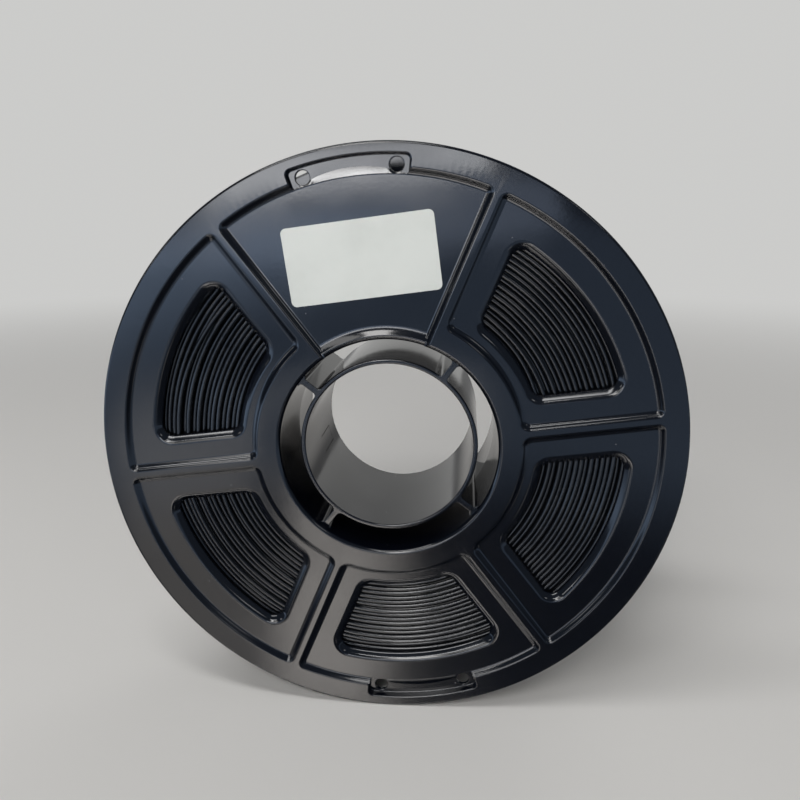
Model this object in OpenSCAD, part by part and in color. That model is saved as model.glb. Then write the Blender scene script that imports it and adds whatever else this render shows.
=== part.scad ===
// Filament spool, full of 1.75 mm filament.
// The spool's axis lies along Y and its middle is the origin. The labelled
// face looks towards -Y and the label's panel is at the top, towards +Z.
//
// Each half is modelled about its own Z axis: z = 0 is the joint between the
// halves and z = spool_w / 2 is the outer face.

/* [Overall] */
// Radius of the flanges
flange_r = 100; // [90:1:125]
// Width over both flanges
spool_w = 60; // [45:1:75]

/* [Flange] */
// Thickness of the rim, the ribs and the ring round the hub
flange_t = 3.8; // [3:0.1:6]
// Depth of the panels below the rim
panel_depth = 1.6; // [0.8:0.1:2]
// Width of the rim
rim_w = 8.2; // [5:0.1:12]
// Width of the ring round the hub
ring_w = 8.1; // [5:0.1:12]
// Width of a rib's flat top
rib_w = 2.9; // [1.5:0.1:6]
// Run of the sloping wall from a panel up to the rim, ring or rib
wall_run = 1; // [0.4:0.1:2]
// Radius of the outer edges
edge_round = 0.8; // [0.3:0.1:1.4]

/* [Windows] */
// Land between a window and the rim
window_rim_land = 11.2; // [6:0.1:16]
// Land between a window and the ring
window_ring_land = 6.9; // [3:0.1:12]
// Distance from the middle of a rib to a window
window_rib_land = 10.5; // [5:0.1:14]
// Radius of a window's corners
window_corner = 4.5; // [2:0.1:7]

/* [Rim notches] */
// Depth of a notch into the rim
notch_in = 4.3; // [2:0.1:6]
// Half angle that a notch takes up
notch_half_angle = 12; // [8:0.5:20]
// Depth of a notch's floor below the panel
notch_drop = 1; // [0.4:0.1:1.4]
// Distance from the foot of the rim's wall to the top of the ramp into a notch
ramp_start = 0.6; // [0.2:0.1:2]
// Run of the ramp
ramp_run = 2.7; // [1.5:0.1:3.5]
// Radius of the ramp's curved foot
ramp_foot_r = 39.6; // [30:0.1:60]
// Diameter of the holes that hold the filament's end
tuck_hole_d = 4.6; // [3:0.1:6]
// Angle from the middle of a notch to a hole
tuck_hole_angle = 9.4; // [6:0.1:11]
// Land between a hole and the notch's outer wall
tuck_hole_land = 0.8; // [0.3:0.1:1.2]

/* [Drum and hub] */
// Inner radius of the drum at its mouth
mouth_r = 37.5; // [34:0.1:45]
// Radius of the mouth's edge
mouth_round = 1.5; // [0.5:0.1:2]
// Height of the lip between the mouth and the label's panel
lip_h = 0.7; // [0.3:0.1:1]
// Flat top of the lip, outside the rounded edge
lip_flat = 0.2; // [0.1:0.1:1]
// Run of the lip's hollow slope down to the panel
lip_run = 3.4; // [1.5:0.1:4]
// Draft of the drum's inside, from the mouth to the joint
drum_draft = 0.7; // [0:0.1:1.2]
// Wall of the drum at its mouth
drum_wall = 1.8; // [1.2:0.1:3]
// Radius of the bore
bore_r = 29; // [24:0.1:31]
// Wall of the hub's tube
tube_wall = 1.6; // [1.2:0.1:2.5]
// How far the tube and the webs stop short of the outer face
tube_setback = 3; // [1:0.1:6]
// Thickness of the webs between the tube and the drum
web_t = 2.1; // [1.2:0.1:4]
// Number of webs
web_count = 4; // [3:1:8]
// Angle from the horizontal to the first web
web_start = 45; // [0:1:90]

/* [Latch] */
// Width of the tongue that reaches into the other half
tongue_w = 6; // [4:0.1:9]
// Length of the tongue
tongue_len = 16; // [8:0.5:20]
// Clearance round the tongue
tongue_gap = 0.3; // [0.2:0.05:0.6]
// Angle of the tongue round the bore
tongue_angle = 189; // [185:1:215]

/* [Filament] */
// Diameter of the filament
filament_d = 1.75; // [1.75:0.01:2.2]
// Radius of the wound pack
pack_r = 88; // [70:0.5:89]
// Clearance from the pack to the flanges
pack_gap = 0.3; // [0.2:0.05:0.6]
// Least gap between the turns of the outer layer
turn_gap = 0.42; // [0.41:0.01:1]

/* [Label] */
// Width of the label
label_w = 50; // [30:0.5:60]
// Height of the label
label_h = 25.5; // [15:0.5:30]
// Thickness of the label
label_t = 0.15; // [0.1:0.05:0.3]
// Radius of the label's corners
label_corner = 1.8; // [0.5:0.1:4]
// Distance from the label's top edge to the rim
label_rim_gap = 14.9; // [5:0.1:20]

/* [Hidden] */
$fn = 96;

PLASTIC = [0.05, 0.055, 0.075];
FILAMENT = [0.03, 0.03, 0.035];
LABEL = [0.92, 0.91, 0.88];

sectors = 6;
sector_angle = 360 / sectors;
label_angle = 90;
over = 1;

face_z = spool_w / 2;
panel_z = face_z - panel_depth;
inner_z = face_z - flange_t;
notch_z = panel_z - notch_drop;
lip_z = panel_z + lip_h;
tube_z = face_z - tube_setback;

rim_in_r = flange_r - rim_w;
ring_r = mouth_r + ring_w;
drum_r = mouth_r + drum_wall;
drum_mid_r = mouth_r - drum_draft;
tube_r = bore_r + tube_wall;

window_out_r = rim_in_r - window_rim_land;
window_in_r = ring_r + window_ring_land;

notch_r = rim_in_r + notch_in;
ramp_top_r = rim_in_r - wall_run - ramp_start;
ramp_foot = ramp_top_r + ramp_run;
tuck_hole_r = notch_r - tuck_hole_d / 2 - tuck_hole_land;

// Hollow slope from the panel up to the lip, an arc that is level with the panel at its foot
lip_top_r = mouth_r + mouth_round + lip_flat;
lip_curve_r = (lip_run * lip_run + lip_h * lip_h) / (2 * lip_h);
lip_angle = asin(lip_run / lip_curve_r);
lip_steps = 5;
lip_slope = [for (i = [0:lip_steps]) let (a = lip_angle * i / lip_steps)
    [lip_top_r + lip_run - lip_curve_r * sin(a), panel_z + lip_curve_r * (1 - cos(a))]];

// Ring of rectangular section
module ring(r_out, r_in, z_low, z_high) {
    translate([0, 0, z_low])
        difference() {
            cylinder(h = z_high - z_low, r = r_out);
            translate([0, 0, -over]) cylinder(h = z_high - z_low + 2 * over, r = r_in);
        }
}

// Section of one turned shape: the drum's wall, the plate under the panels, the rim and
// the lip at the mouth, which the ring covers everywhere but in the label's panel
module shell_section() {
    difference() {
        polygon(concat(
            [[drum_mid_r, 0], [drum_r, 0], [drum_r, inner_z], [flange_r, inner_z],
             [flange_r, face_z], [rim_in_r, face_z], [rim_in_r - wall_run, panel_z]],
            lip_slope,
            [[mouth_r, lip_z], [mouth_r, inner_z]]));
        corner_cut(flange_r, face_z, 1);
        corner_cut(flange_r, inner_z, -1);
        mouth_cut(lip_z);
    }
}

// What rounding takes off a corner at radius r, on an outer edge
module corner_cut(r, z, side) {
    translate([r - edge_round, z - side * edge_round])
        difference() {
            translate([0, side > 0 ? 0 : -edge_round - over])
                square(edge_round + over);
            circle(edge_round);
        }
}

// What rounding takes off the mouth's edge
module mouth_cut(z) {
    translate([mouth_r + mouth_round, z - mouth_round])
        difference() {
            translate([-mouth_round - over, 0]) square(mouth_round + over);
            circle(mouth_round);
        }
}

// Section of the ring round the hub; its bore carries on the drum's wall where the lip's
// rounding leaves it
module ring_section() {
    difference() {
        polygon([[mouth_r, lip_z - mouth_round], [mouth_r, face_z], [ring_r, face_z],
                 [ring_r + wall_run, panel_z], [ring_r + wall_run, panel_z - over],
                 [mouth_r + over, panel_z - over]]);
        mouth_cut(face_z);
    }
}

// Section of a rib
module rib_section() {
    half = rib_w / 2;
    polygon([[-half - wall_run, panel_z - over], [-half - wall_run, panel_z],
             [-half, face_z], [half, face_z],
             [half + wall_run, panel_z], [half + wall_run, panel_z - over]]);
}

module rib(angle) {
    start = mouth_r + mouth_round;
    rotate([0, 0, angle])
        translate([start, 0, 0])
        rotate([90, 0, 90])
        linear_extrude(rim_in_r - start + over / 2) rib_section();
}

// Half plane on the inner side of the line that a window's straight side lies on
module side_limit(side) {
    rotate(side * sector_angle / 2)
        translate([0, side > 0 ? -window_rib_land - flange_r : window_rib_land])
        square(flange_r);
}

// What rounding takes off one corner of a window; out is 1 at the rim and -1 at the ring
module corner_sliver(side, out) {
    centre_r = out > 0 ? window_out_r - window_corner : window_in_r + window_corner;
    v = window_rib_land + window_corner;
    u = sqrt(centre_r * centre_r - v * v);
    reach = 1.5 * window_corner + over;
    n = [u, v] / centre_r * out;
    mirror([0, side > 0 ? 1 : 0])
        rotate(-sector_angle / 2)
        translate([u, v])
        difference() {
            polygon([[0, 0], [0, -reach], [0, -reach] + n * reach, n * reach]);
            circle(window_corner);
        }
}

// Outline of a window, centred on the X axis
module window_outline() {
    difference() {
        intersection() {
            difference() {
                circle(window_out_r);
                circle(window_in_r);
            }
            side_limit(1);
            side_limit(-1);
        }
        for (side = [-1, 1], out = [-1, 1]) corner_sliver(side, out);
    }
}

module window_cut() {
    translate([0, 0, inner_z - over])
        linear_extrude(flange_t + 2 * over) window_outline();
}

// Notch in the rim, with its ramp and its two holes
module notch_cut() {
    difference() {
        rotate([0, 0, -notch_half_angle])
            rotate_extrude(angle = 2 * notch_half_angle)
            translate([ramp_top_r, notch_z])
            square([notch_r - ramp_top_r, face_z - notch_z + over]);
        intersection() {
            rotate_extrude()
                polygon([[ramp_top_r - over, notch_z - over], [ramp_top_r - over, panel_z],
                         [ramp_top_r, panel_z], [ramp_foot, notch_z], [ramp_foot, notch_z - over]]);
            translate([ramp_foot - ramp_foot_r, 0, notch_z - 2 * over])
                cylinder(h = flange_t + 4 * over, r = ramp_foot_r);
        }
    }
    for (side = [-1, 1])
        rotate([0, 0, side * tuck_hole_angle])
            translate([tuck_hole_r, 0, inner_z - over])
            cylinder(h = flange_t + 2 * over, d = tuck_hole_d);
}

module flange() {
    difference() {
        union() {
            rotate_extrude() shell_section();
            rotate([0, 0, label_angle + sector_angle / 2])
                rotate_extrude(angle = 360 - sector_angle) ring_section();
            for (i = [0:sectors - 1]) rib(i * sector_angle);
        }
        for (i = [1:sectors - 1])
            rotate([0, 0, label_angle + i * sector_angle]) window_cut();
        for (a = [label_angle, label_angle + 180])
            rotate([0, 0, a]) notch_cut();
    }
}

// Slice of the tube's wall, as wide as w
module tube_slice(angle, w, z_low, z_high) {
    intersection() {
        ring(tube_r, bore_r, z_low, z_high);
        rotate([0, 0, angle])
            translate([bore_r - 3 * over, -w / 2, z_low - over])
            cube([tube_wall + 4 * over, w, z_high - z_low + 2 * over]);
    }
}

module tube() {
    difference() {
        ring(tube_r, bore_r, 0, tube_z);
        rotate([0, 0, 180 - tongue_angle])
            translate([bore_r - 3 * over, -tongue_w / 2 - tongue_gap, -over])
            cube([tube_wall + 4 * over, tongue_w + 2 * tongue_gap,
                  tongue_len + tongue_gap + over]);
    }
    tube_slice(tongue_angle, tongue_w, -tongue_len, over);
}

module web(angle) {
    rotate([0, 0, angle])
        translate([tube_r - tube_wall / 2, -web_t / 2, 0])
        cube([drum_mid_r + drum_wall / 2 - tube_r + tube_wall / 2, web_t, tube_z]);
}

// One half of the spool: flange, half a drum, half a tube and their webs
module half() {
    flange();
    tube();
    for (i = [0:web_count - 1]) web(web_start + 360 / web_count * i);
}

// Turns a piece made about Z so that its outer face looks towards -Y
module to_front() { rotate([90, 0, 0]) children(); }

module front_half() {
    color(PLASTIC) to_front() half();
}

module rear_half() {
    color(PLASTIC) rotate([0, 0, 180]) to_front() half();
}

wind_r = pack_r - filament_d / 2;
ring_steps = 24;
tube_sides = 6;
channel = inner_z - pack_gap;
wind_span = 2 * channel - filament_d;
most_turns = 24;
turns = min(most_turns, floor(wind_span / (filament_d + turn_gap)));
pitch = wind_span / turns;
core_gap = 0.15;
start_gap = 0.02;
core_r = wind_r * cos(180 / ring_steps) - filament_d / 2 - core_gap;
layers = floor((core_r - drum_r - pack_gap) / filament_d);
scallop_sides = 8;

// Filament under the outer layer, with its turns showing on both sides
module core_section() {
    half_d = filament_d / 2;
    side_r = core_r - layers * filament_d + half_d;
    translate([drum_r + pack_gap / 2, -channel + half_d])
        square([core_r - drum_r - pack_gap / 2, 2 * channel - filament_d]);
    for (z = [-channel + half_d, channel - half_d], i = [0:layers - 1])
        translate([side_r + i * filament_d, z])
            rotate(180 / scallop_sides) circle(half_d, $fn = scallop_sides);
}

module filament_core() {
    color(FILAMENT) rotate([90, 0, 0]) rotate_extrude() core_section();
}

// Point at radius r, at angle a round the axis and at y along it
function at(r, a, y) = [r * cos(a), y, r * sin(a)];
function unit(v) = v / norm(v);

// The outer layer climbs out of the pack, winds once across it and leaves its
// last turn along tail_lift degrees, to end in a tuck hole of the rear flange
tail_angle = label_angle + tuck_hole_angle;
tail_lift = 40;
tail_steps = 4;
tail_recess = 0.5;
wind_start = tail_angle - tail_lift;
wind_end = wind_start + 360 * turns;
wind_y = wind_span / 2;
step_angle = 360 / ring_steps;

wind_path = concat(
    [at(core_r + start_gap, wind_start, -wind_y)],
    [for (i = [0:turns * ring_steps])
        at(wind_r, wind_start + i * step_angle, -wind_y + i * pitch / ring_steps)],
    [for (i = [1:tail_steps])
        at(wind_r + (tuck_hole_r - wind_r) * i / tail_steps,
           wind_end + tail_lift * i / tail_steps, wind_y)],
    [at(tuck_hole_r, tail_angle, face_z - tail_recess)]);
path_last = len(wind_path) - 1;

// Direction of the path before and after point i
function leaving(i) = unit(wind_path[min(i + 1, path_last)] - wind_path[min(i, path_last - 1)]);
function arriving(i) = unit(wind_path[max(i, 1)] - wind_path[max(i - 1, 0)]);

// Below this the path doesn't bend
straight = 0.001;

// Offset v of a ring's corner, stretched across the bend so the tube keeps its width
function mitred(v, i) =
    let (bend = leaving(i) - arriving(i), half = norm(leaving(i) + arriving(i)) / 2)
    norm(bend) < straight ? v : v + unit(bend) * (v * unit(bend)) * (1 / half - 1);

// Corners of the ring at point i
function tube_ring(i) =
    let (t = unit(leaving(i) + arriving(i)),
         side = i < path_last ? [0, 1, 0] : [sin(tail_angle), 0, -cos(tail_angle)],
         a = unit(side - t * (side * t)),
         b = cross(t, a))
    [for (k = [0:tube_sides - 1])
        wind_path[i] + mitred((a * cos(k * 360 / tube_sides) + b * sin(k * 360 / tube_sides))
                              * filament_d / 2, i)];

// Distance from point p to the stretch from a to b
function reach_to(p, a, b) =
    let (d = b - a, t = max(0, min(1, (p - a) * d / (d * d))))
    norm(p - a - d * t);

// Least gap of the winding to itself, from each point to the stretches one turn on
search = 3;
least_gap = min([for (i = [0:path_last - ring_steps], j = [-search:search])
    let (k = i + ring_steps + j)
    if (k < path_last) reach_to(wind_path[i], wind_path[k], wind_path[k + 1])]) - filament_d;
echo(turns = turns, pitch = pitch, least_gap = least_gap);

module filament_winding() {
    points = [for (i = [0:path_last]) each tube_ring(i)];
    last = path_last * tube_sides;
    walls = [for (i = [0:path_last - 1], k = [0:tube_sides - 1])
        let (n = (k + 1) % tube_sides, lower = i * tube_sides, upper = lower + tube_sides)
        each [[lower + k, upper + n, lower + n], [lower + k, upper + k, upper + n]]];
    ends = [for (k = [1:tube_sides - 2])
        each [[0, k, k + 1], [last, last + k + 1, last + k]]];
    color(FILAMENT) polyhedron(points, concat(walls, ends));
}

module label() {
    half_w = label_w / 2 - label_corner;
    top = rim_in_r - label_rim_gap;
    color(LABEL)
        to_front()
        translate([0, top - label_h / 2, panel_z])
        linear_extrude(label_t)
        union() {
            square([label_w - 2 * label_corner, label_h], center = true);
            square([label_w, label_h - 2 * label_corner], center = true);
            for (x = [-1, 1], y = [-1, 1])
                translate([x * half_w, y * (label_h / 2 - label_corner)])
                    circle(label_corner);
        }
}

front_half();
rear_half();
filament_core();
filament_winding();
label();
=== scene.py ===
"""Looks of a filament spool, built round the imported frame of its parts.

The spool is two moulded halves that meet in the middle of the drum, with black filament wound between
their flanges and a blank label on the front one. A half is worked out in millimetres about its own Z axis,
where z = 0 is the joint between the halves and the outer face looks towards +Z. It is cut from one turned
shell, as its mould is, and then laid into the part's frame, where the spool's axis runs along Y.
"""

from __future__ import annotations

import logging
import math
import random
from collections.abc import Callable, Iterable, Sequence
from dataclasses import dataclass, field
from enum import Enum

import bmesh
import bpy
from mathutils import Matrix, Vector, noise

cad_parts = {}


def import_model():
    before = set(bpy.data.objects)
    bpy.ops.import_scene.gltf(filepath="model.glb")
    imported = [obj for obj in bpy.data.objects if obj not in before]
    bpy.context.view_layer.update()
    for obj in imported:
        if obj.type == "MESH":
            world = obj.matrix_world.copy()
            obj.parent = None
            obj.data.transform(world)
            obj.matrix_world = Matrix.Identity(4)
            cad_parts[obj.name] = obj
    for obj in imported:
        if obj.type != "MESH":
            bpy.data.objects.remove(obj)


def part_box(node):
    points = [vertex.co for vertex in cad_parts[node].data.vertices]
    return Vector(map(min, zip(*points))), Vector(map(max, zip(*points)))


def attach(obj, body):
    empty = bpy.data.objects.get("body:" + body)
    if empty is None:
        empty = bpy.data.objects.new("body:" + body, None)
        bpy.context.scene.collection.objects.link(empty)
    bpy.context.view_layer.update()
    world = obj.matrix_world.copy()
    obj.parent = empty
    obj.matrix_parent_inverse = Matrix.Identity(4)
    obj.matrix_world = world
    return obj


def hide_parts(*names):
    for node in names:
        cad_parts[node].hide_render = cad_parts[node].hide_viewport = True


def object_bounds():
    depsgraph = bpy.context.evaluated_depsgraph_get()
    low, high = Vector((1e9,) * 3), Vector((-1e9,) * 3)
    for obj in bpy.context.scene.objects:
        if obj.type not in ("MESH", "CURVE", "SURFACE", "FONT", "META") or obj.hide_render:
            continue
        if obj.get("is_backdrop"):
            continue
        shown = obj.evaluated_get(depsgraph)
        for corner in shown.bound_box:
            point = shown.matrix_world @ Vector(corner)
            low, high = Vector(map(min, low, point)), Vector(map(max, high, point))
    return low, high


LOG = logging.getLogger("spool")

MM = 0.001
TURN = 2 * math.pi
BODY = "root"

Colour = tuple[float, float, float]
Corner = tuple[float, float, float]
Levels = Sequence[tuple[float, float]]

WHITE = (1.0, 1.0, 1.0)

# In millimetres: how far a tool goes on past what it cuts, how far a rounding's last chord goes on
# above the face, and how far a line goes on along a face to give its direction.
OVER = 1.0
RISE = 0.05
ALONG = 10.0
# Distances within which doubled points are merged, in millimetres.
MERGE = 0.002
FINE_MERGE = 1e-5
TUBE_MERGE = 1e-4
# Largest turn between the chords of a rounding, and turns past which an edge stays sharp.
CHORD_TURN = math.radians(12)
SHARP = math.radians(32)
TUBE_SHARP = math.radians(60)
# Least cosine that a corner's growth is divided by.
MITRE_LIMIT = 0.5
# Weight of the large faces in the evened normals, where 50 is neutral.
FACE_WEIGHT = 90


class Side(Enum):
    """The two halves of the spool, by the CAD node that each stands for."""

    FRONT = "front_half"
    REAR = "rear_half"

    def placement(self) -> Matrix:
        """Works out how a half lies in the part.

        Returns:
            The matrix from the half's own frame, in millimetres, to the part's, in metres.
        """
        front = Matrix.Rotation(math.pi / 2, 4, "X") @ Matrix.Scale(MM, 4)
        if self is Side.FRONT:
            return front
        return Matrix.Rotation(math.pi, 4, "Z") @ front


class Operation(Enum):
    """What a tool does to the solid that it meets."""

    JOIN = "UNION"
    CUT = "DIFFERENCE"
    KEEP = "INTERSECT"


# ---------------------------------------------------------------- outlines


@dataclass(frozen=True)
class OutlinePoint:
    """A point of a flat outline, and the direction in which the outline grows there."""

    place: Vector
    outward: Vector

    def grown(self, amount: float, z: float) -> Vector:
        """The point of the outline grown by amount, at height z."""
        flat = self.place + self.outward * amount
        return Vector((flat.x, flat.y, z))


def polar(radius: float, angle: float) -> Vector:
    """The flat point at that radius and angle."""
    return Vector((radius * math.cos(angle), radius * math.sin(angle)))


def smooth(share: float) -> float:
    """Eases a share between 0 and 1 at both ends."""
    return share * share * (3 - 2 * share)


def arc(centre: Vector, radius: float, start: float, end: float, steps: int,
        hollow: bool = False) -> list[OutlinePoint]:
    """Points along an arc.

    Args:
        centre: Centre of the arc.
        radius: Radius of the arc.
        start: Direction from the centre to the first point, in radians.
        end: Direction from the centre to the last point.
        steps: Number of chords.
        hollow: True where the outline grows towards the centre.

    Returns:
        The points, both ends included.
    """
    facing = -1 if hollow else 1
    angles = [start + (end - start) * i / steps for i in range(steps + 1)]
    return [OutlinePoint(centre + polar(radius, a), polar(facing, a)) for a in angles]


@dataclass(frozen=True)
class Sector:
    """A stretch of a ring between two radial lines, with rounded corners."""

    r_in: float
    r_out: float
    side: float
    corner_in: float
    corner_out: float
    half_angle: float
    step: float = math.radians(1.5)
    corner_steps: int = 7

    def outline(self, middle: float) -> list[OutlinePoint]:
        """Works the outline out, anticlockwise.

        Its straight sides run beside the lines at half_angle each way from the middle, and side is
        their distance from those lines.

        Args:
            middle: Angle of the sector's middle, in radians.

        Returns:
            The outline, which grows away from the sector.
        """
        out_r = self.r_out - self.corner_out
        in_r = self.r_in + self.corner_in
        outer = self._corner_angle(out_r, self.side + self.corner_out)
        inner = self._corner_angle(in_r, self.side + self.corner_in)
        square = self.half_angle + math.pi / 2
        hub = Vector((0.0, 0.0))

        def corner(radius: float, size: float, at: float, start: float, end: float) -> list[OutlinePoint]:
            """One rounded corner, with its angles counted from the middle."""
            return arc(polar(radius, middle + at), size, middle + start, middle + end, self.corner_steps)

        points = corner(out_r, self.corner_out, -outer, -square, -outer)
        points += arc(hub, self.r_out, middle - outer, middle + outer, self._chords(outer))[1:-1]
        points += corner(out_r, self.corner_out, outer, outer, square)
        points += corner(in_r, self.corner_in, inner, square, math.pi + inner)
        points += arc(hub, self.r_in, middle + inner, middle - inner, self._chords(inner), hollow=True)[1:-1]
        points += corner(in_r, self.corner_in, -inner, math.pi - inner, TURN - square)
        return points

    def _corner_angle(self, radius: float, distance: float) -> float:
        """Angle from the middle to a corner's centre, at that radius and distance from the side's line."""
        return self.half_angle - math.asin(distance / radius)

    def _chords(self, half: float) -> int:
        """Number of chords for an arc that covers half each way from the middle."""
        return max(2, round(2 * half / self.step))


def filleted(corners: Sequence[Corner], closed: bool = True) -> list[Vector]:
    """Rounds the corners of a line.

    Args:
        corners: Each corner as its two coordinates and the radius that it is rounded to.
        closed: True if the last corner is joined to the first.

    Returns:
        The points of the rounded line.
    """
    points: list[Vector] = []
    count = len(corners)
    for i, (x, y, radius) in enumerate(corners):
        here = Vector((x, y))
        if radius <= 0 or (not closed and i in (0, count - 1)):
            points.append(here)
            continue
        before = (Vector(corners[i - 1][:2]) - here).normalized()
        after = (Vector(corners[(i + 1) % count][:2]) - here).normalized()
        half = before.angle(after) / 2
        centre = here + (before + after).normalized() * (radius / math.sin(half))
        first = here + before * (radius / math.tan(half)) - centre
        last = here + after * (radius / math.tan(half)) - centre
        start = math.atan2(first.y, first.x)
        turn = math.remainder(math.atan2(last.y, last.x) - start, TURN)
        steps = max(2, math.ceil(abs(turn) / CHORD_TURN))
        points += [centre + polar(radius, start + turn * k / steps) for k in range(steps + 1)]
    return points


def outline_of(points: Sequence[Vector]) -> list[OutlinePoint]:
    """Gives the points of a closed line the directions in which it grows evenly.

    Args:
        points: The points, anticlockwise.

    Returns:
        The outline.
    """
    made = []
    for i, here in enumerate(points):
        arriving = (here - points[i - 1]).normalized()
        leaving = (points[(i + 1) % len(points)] - here).normalized()
        mean = (arriving + leaving).normalized()
        stretch = max(mean.dot(leaving), MITRE_LIMIT)
        made.append(OutlinePoint(here, Vector((mean.y, -mean.x)) / stretch))
    return made


def wall_levels(floor: float, top: float, run: float, foot: float, lip: float) -> Levels:
    """Levels of a recess's wall, from its floor up through the face that it is cut into.

    Args:
        floor: Height of the floor.
        top: Height of the face.
        run: How far the wall leans outwards on its way up.
        foot: Radius of the hollow at the foot, or 0 for a recess that goes right through.
        lip: Radius of the rounding at the face.

    Returns:
        How far the outline is grown, and the height, from the lowest level to the highest.
    """
    line = [(0, floor, foot), (run, top, lip), (run + ALONG, top, 0)]
    if foot > 0:
        return through_face([(-ALONG, floor, 0), *line])[1:]
    return through_face(line)


def through_face(line: Sequence[Corner]) -> Levels:
    """Rounds a wall's line, which ends along a face, and takes it on up through that face.

    Args:
        line: Corners of the line, as how far the outline is grown, the height, and the rounding.

    Returns:
        How far the outline is grown, and the height, from the lowest level to the highest.
    """
    points = filleted(line, closed=False)[:-1]
    tip, last = points[-2], points[-1]
    crossing = last + (last - tip) * (RISE / (last.y - tip.y))
    return [*(tuple(p) for p in points[:-1]), tuple(crossing), (crossing.x, last.y + OVER)]


# ---------------------------------------------------------------- meshes


def link(name: str, data: bpy.types.ID) -> bpy.types.Object:
    """Makes an object and links it to the scene.

    Args:
        name: Name of the object.
        data: Its mesh, curve, light or camera.

    Returns:
        The object.
    """
    made = bpy.data.objects.new(name, data)
    bpy.context.scene.collection.objects.link(made)
    return made


def mesh_of(name: str, shape: bmesh.types.BMesh) -> bpy.types.Mesh:
    """Takes a bmesh over as a new mesh.

    Args:
        name: Name of the mesh.
        shape: The bmesh, which is freed.

    Returns:
        The mesh.
    """
    mesh = bpy.data.meshes.new(name)
    shape.to_mesh(mesh)
    shape.free()
    return mesh


def evaluated_mesh(source: bpy.types.Object) -> bpy.types.Mesh:
    """The mesh that an object comes out as, with its modifiers or its bevel."""
    graph = bpy.context.evaluated_depsgraph_get()
    return bpy.data.meshes.new_from_object(source.evaluated_get(graph))


class Solid:
    """A closed mesh that is being cut to shape, in millimetres about the half's axis."""

    def __init__(self, name: str, shape: bmesh.types.BMesh) -> None:
        """Takes a bmesh over as a new object."""
        bmesh.ops.recalc_face_normals(shape, faces=shape.faces)
        self.object = link(name, mesh_of(name, shape))

    def meet(self, operation: Operation, *tools: Solid) -> Solid:
        """Joins, cuts or keeps with each tool in turn, and removes the tools.

        Args:
            operation: What the tools do.
            *tools: The solids to work with.

        Returns:
            The solid itself.
        """
        for tool in tools:
            modifier = self.object.modifiers.new("meet", "BOOLEAN")
            modifier.operation = operation.value
            modifier.solver = "MANIFOLD"
            modifier.object = tool.object
            made, spent = evaluated_mesh(self.object), self.object.data
            self.object.modifiers.clear()
            self.object.data = made
            bpy.data.meshes.remove(spent)
            tool.remove()
        return self

    def remove(self) -> None:
        """Deletes the object and its mesh."""
        mesh = self.object.data
        bpy.data.objects.remove(self.object)
        bpy.data.meshes.remove(mesh)


def turned(name: str, profile: Iterable[Sequence[float]], steps: int,
           start: float = 0.0, sweep: float = TURN) -> Solid:
    """Turns a closed profile about the Z axis.

    Args:
        name: Name of the new object.
        profile: Points as radius and height.
        steps: Number of steps in the sweep.
        start: Angle at which the sweep starts, in radians.
        sweep: Angle that it covers.

    Returns:
        The closed solid.
    """
    shape = bmesh.new()
    whole = math.isclose(sweep, TURN)
    across = polar(1, start)
    line = [shape.verts.new((r * across.x, r * across.y, z)) for r, z in map(Vector, profile)]
    face = shape.faces.new(line)
    edges = list(face.edges)
    if whole:
        shape.faces.remove(face)
    bmesh.ops.spin(shape, geom=edges if whole else [face, *edges], cent=(0, 0, 0), axis=(0, 0, 1),
                   angle=sweep, steps=steps, use_merge=whole)
    bmesh.ops.remove_doubles(shape, verts=shape.verts, dist=FINE_MERGE)
    return Solid(name, shape)


def walled(name: str, outline: Sequence[OutlinePoint], levels: Levels) -> Solid:
    """Raises an outline through levels, growing or shrinking it at each.

    Args:
        name: Name of the new object.
        outline: The outline.
        levels: How far the outline is grown, and the height, from one end of the solid to the other.

    Returns:
        The closed solid.
    """
    shape = bmesh.new()
    grow, z = levels[0]
    first = face = shape.faces.new([shape.verts.new(p.grown(grow, z)) for p in outline])
    for grow, z in levels[1:]:
        raised = bmesh.ops.extrude_face_region(shape, geom=[face])["geom"]
        if face is not first:
            shape.faces.remove(face)
        face = next(g for g in raised if isinstance(g, bmesh.types.BMFace))
        for loop, point in zip(face.loops, outline):
            loop.vert.co = point.grown(grow, z)
    return Solid(name, shape)


# ---------------------------------------------------------------- materials


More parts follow.
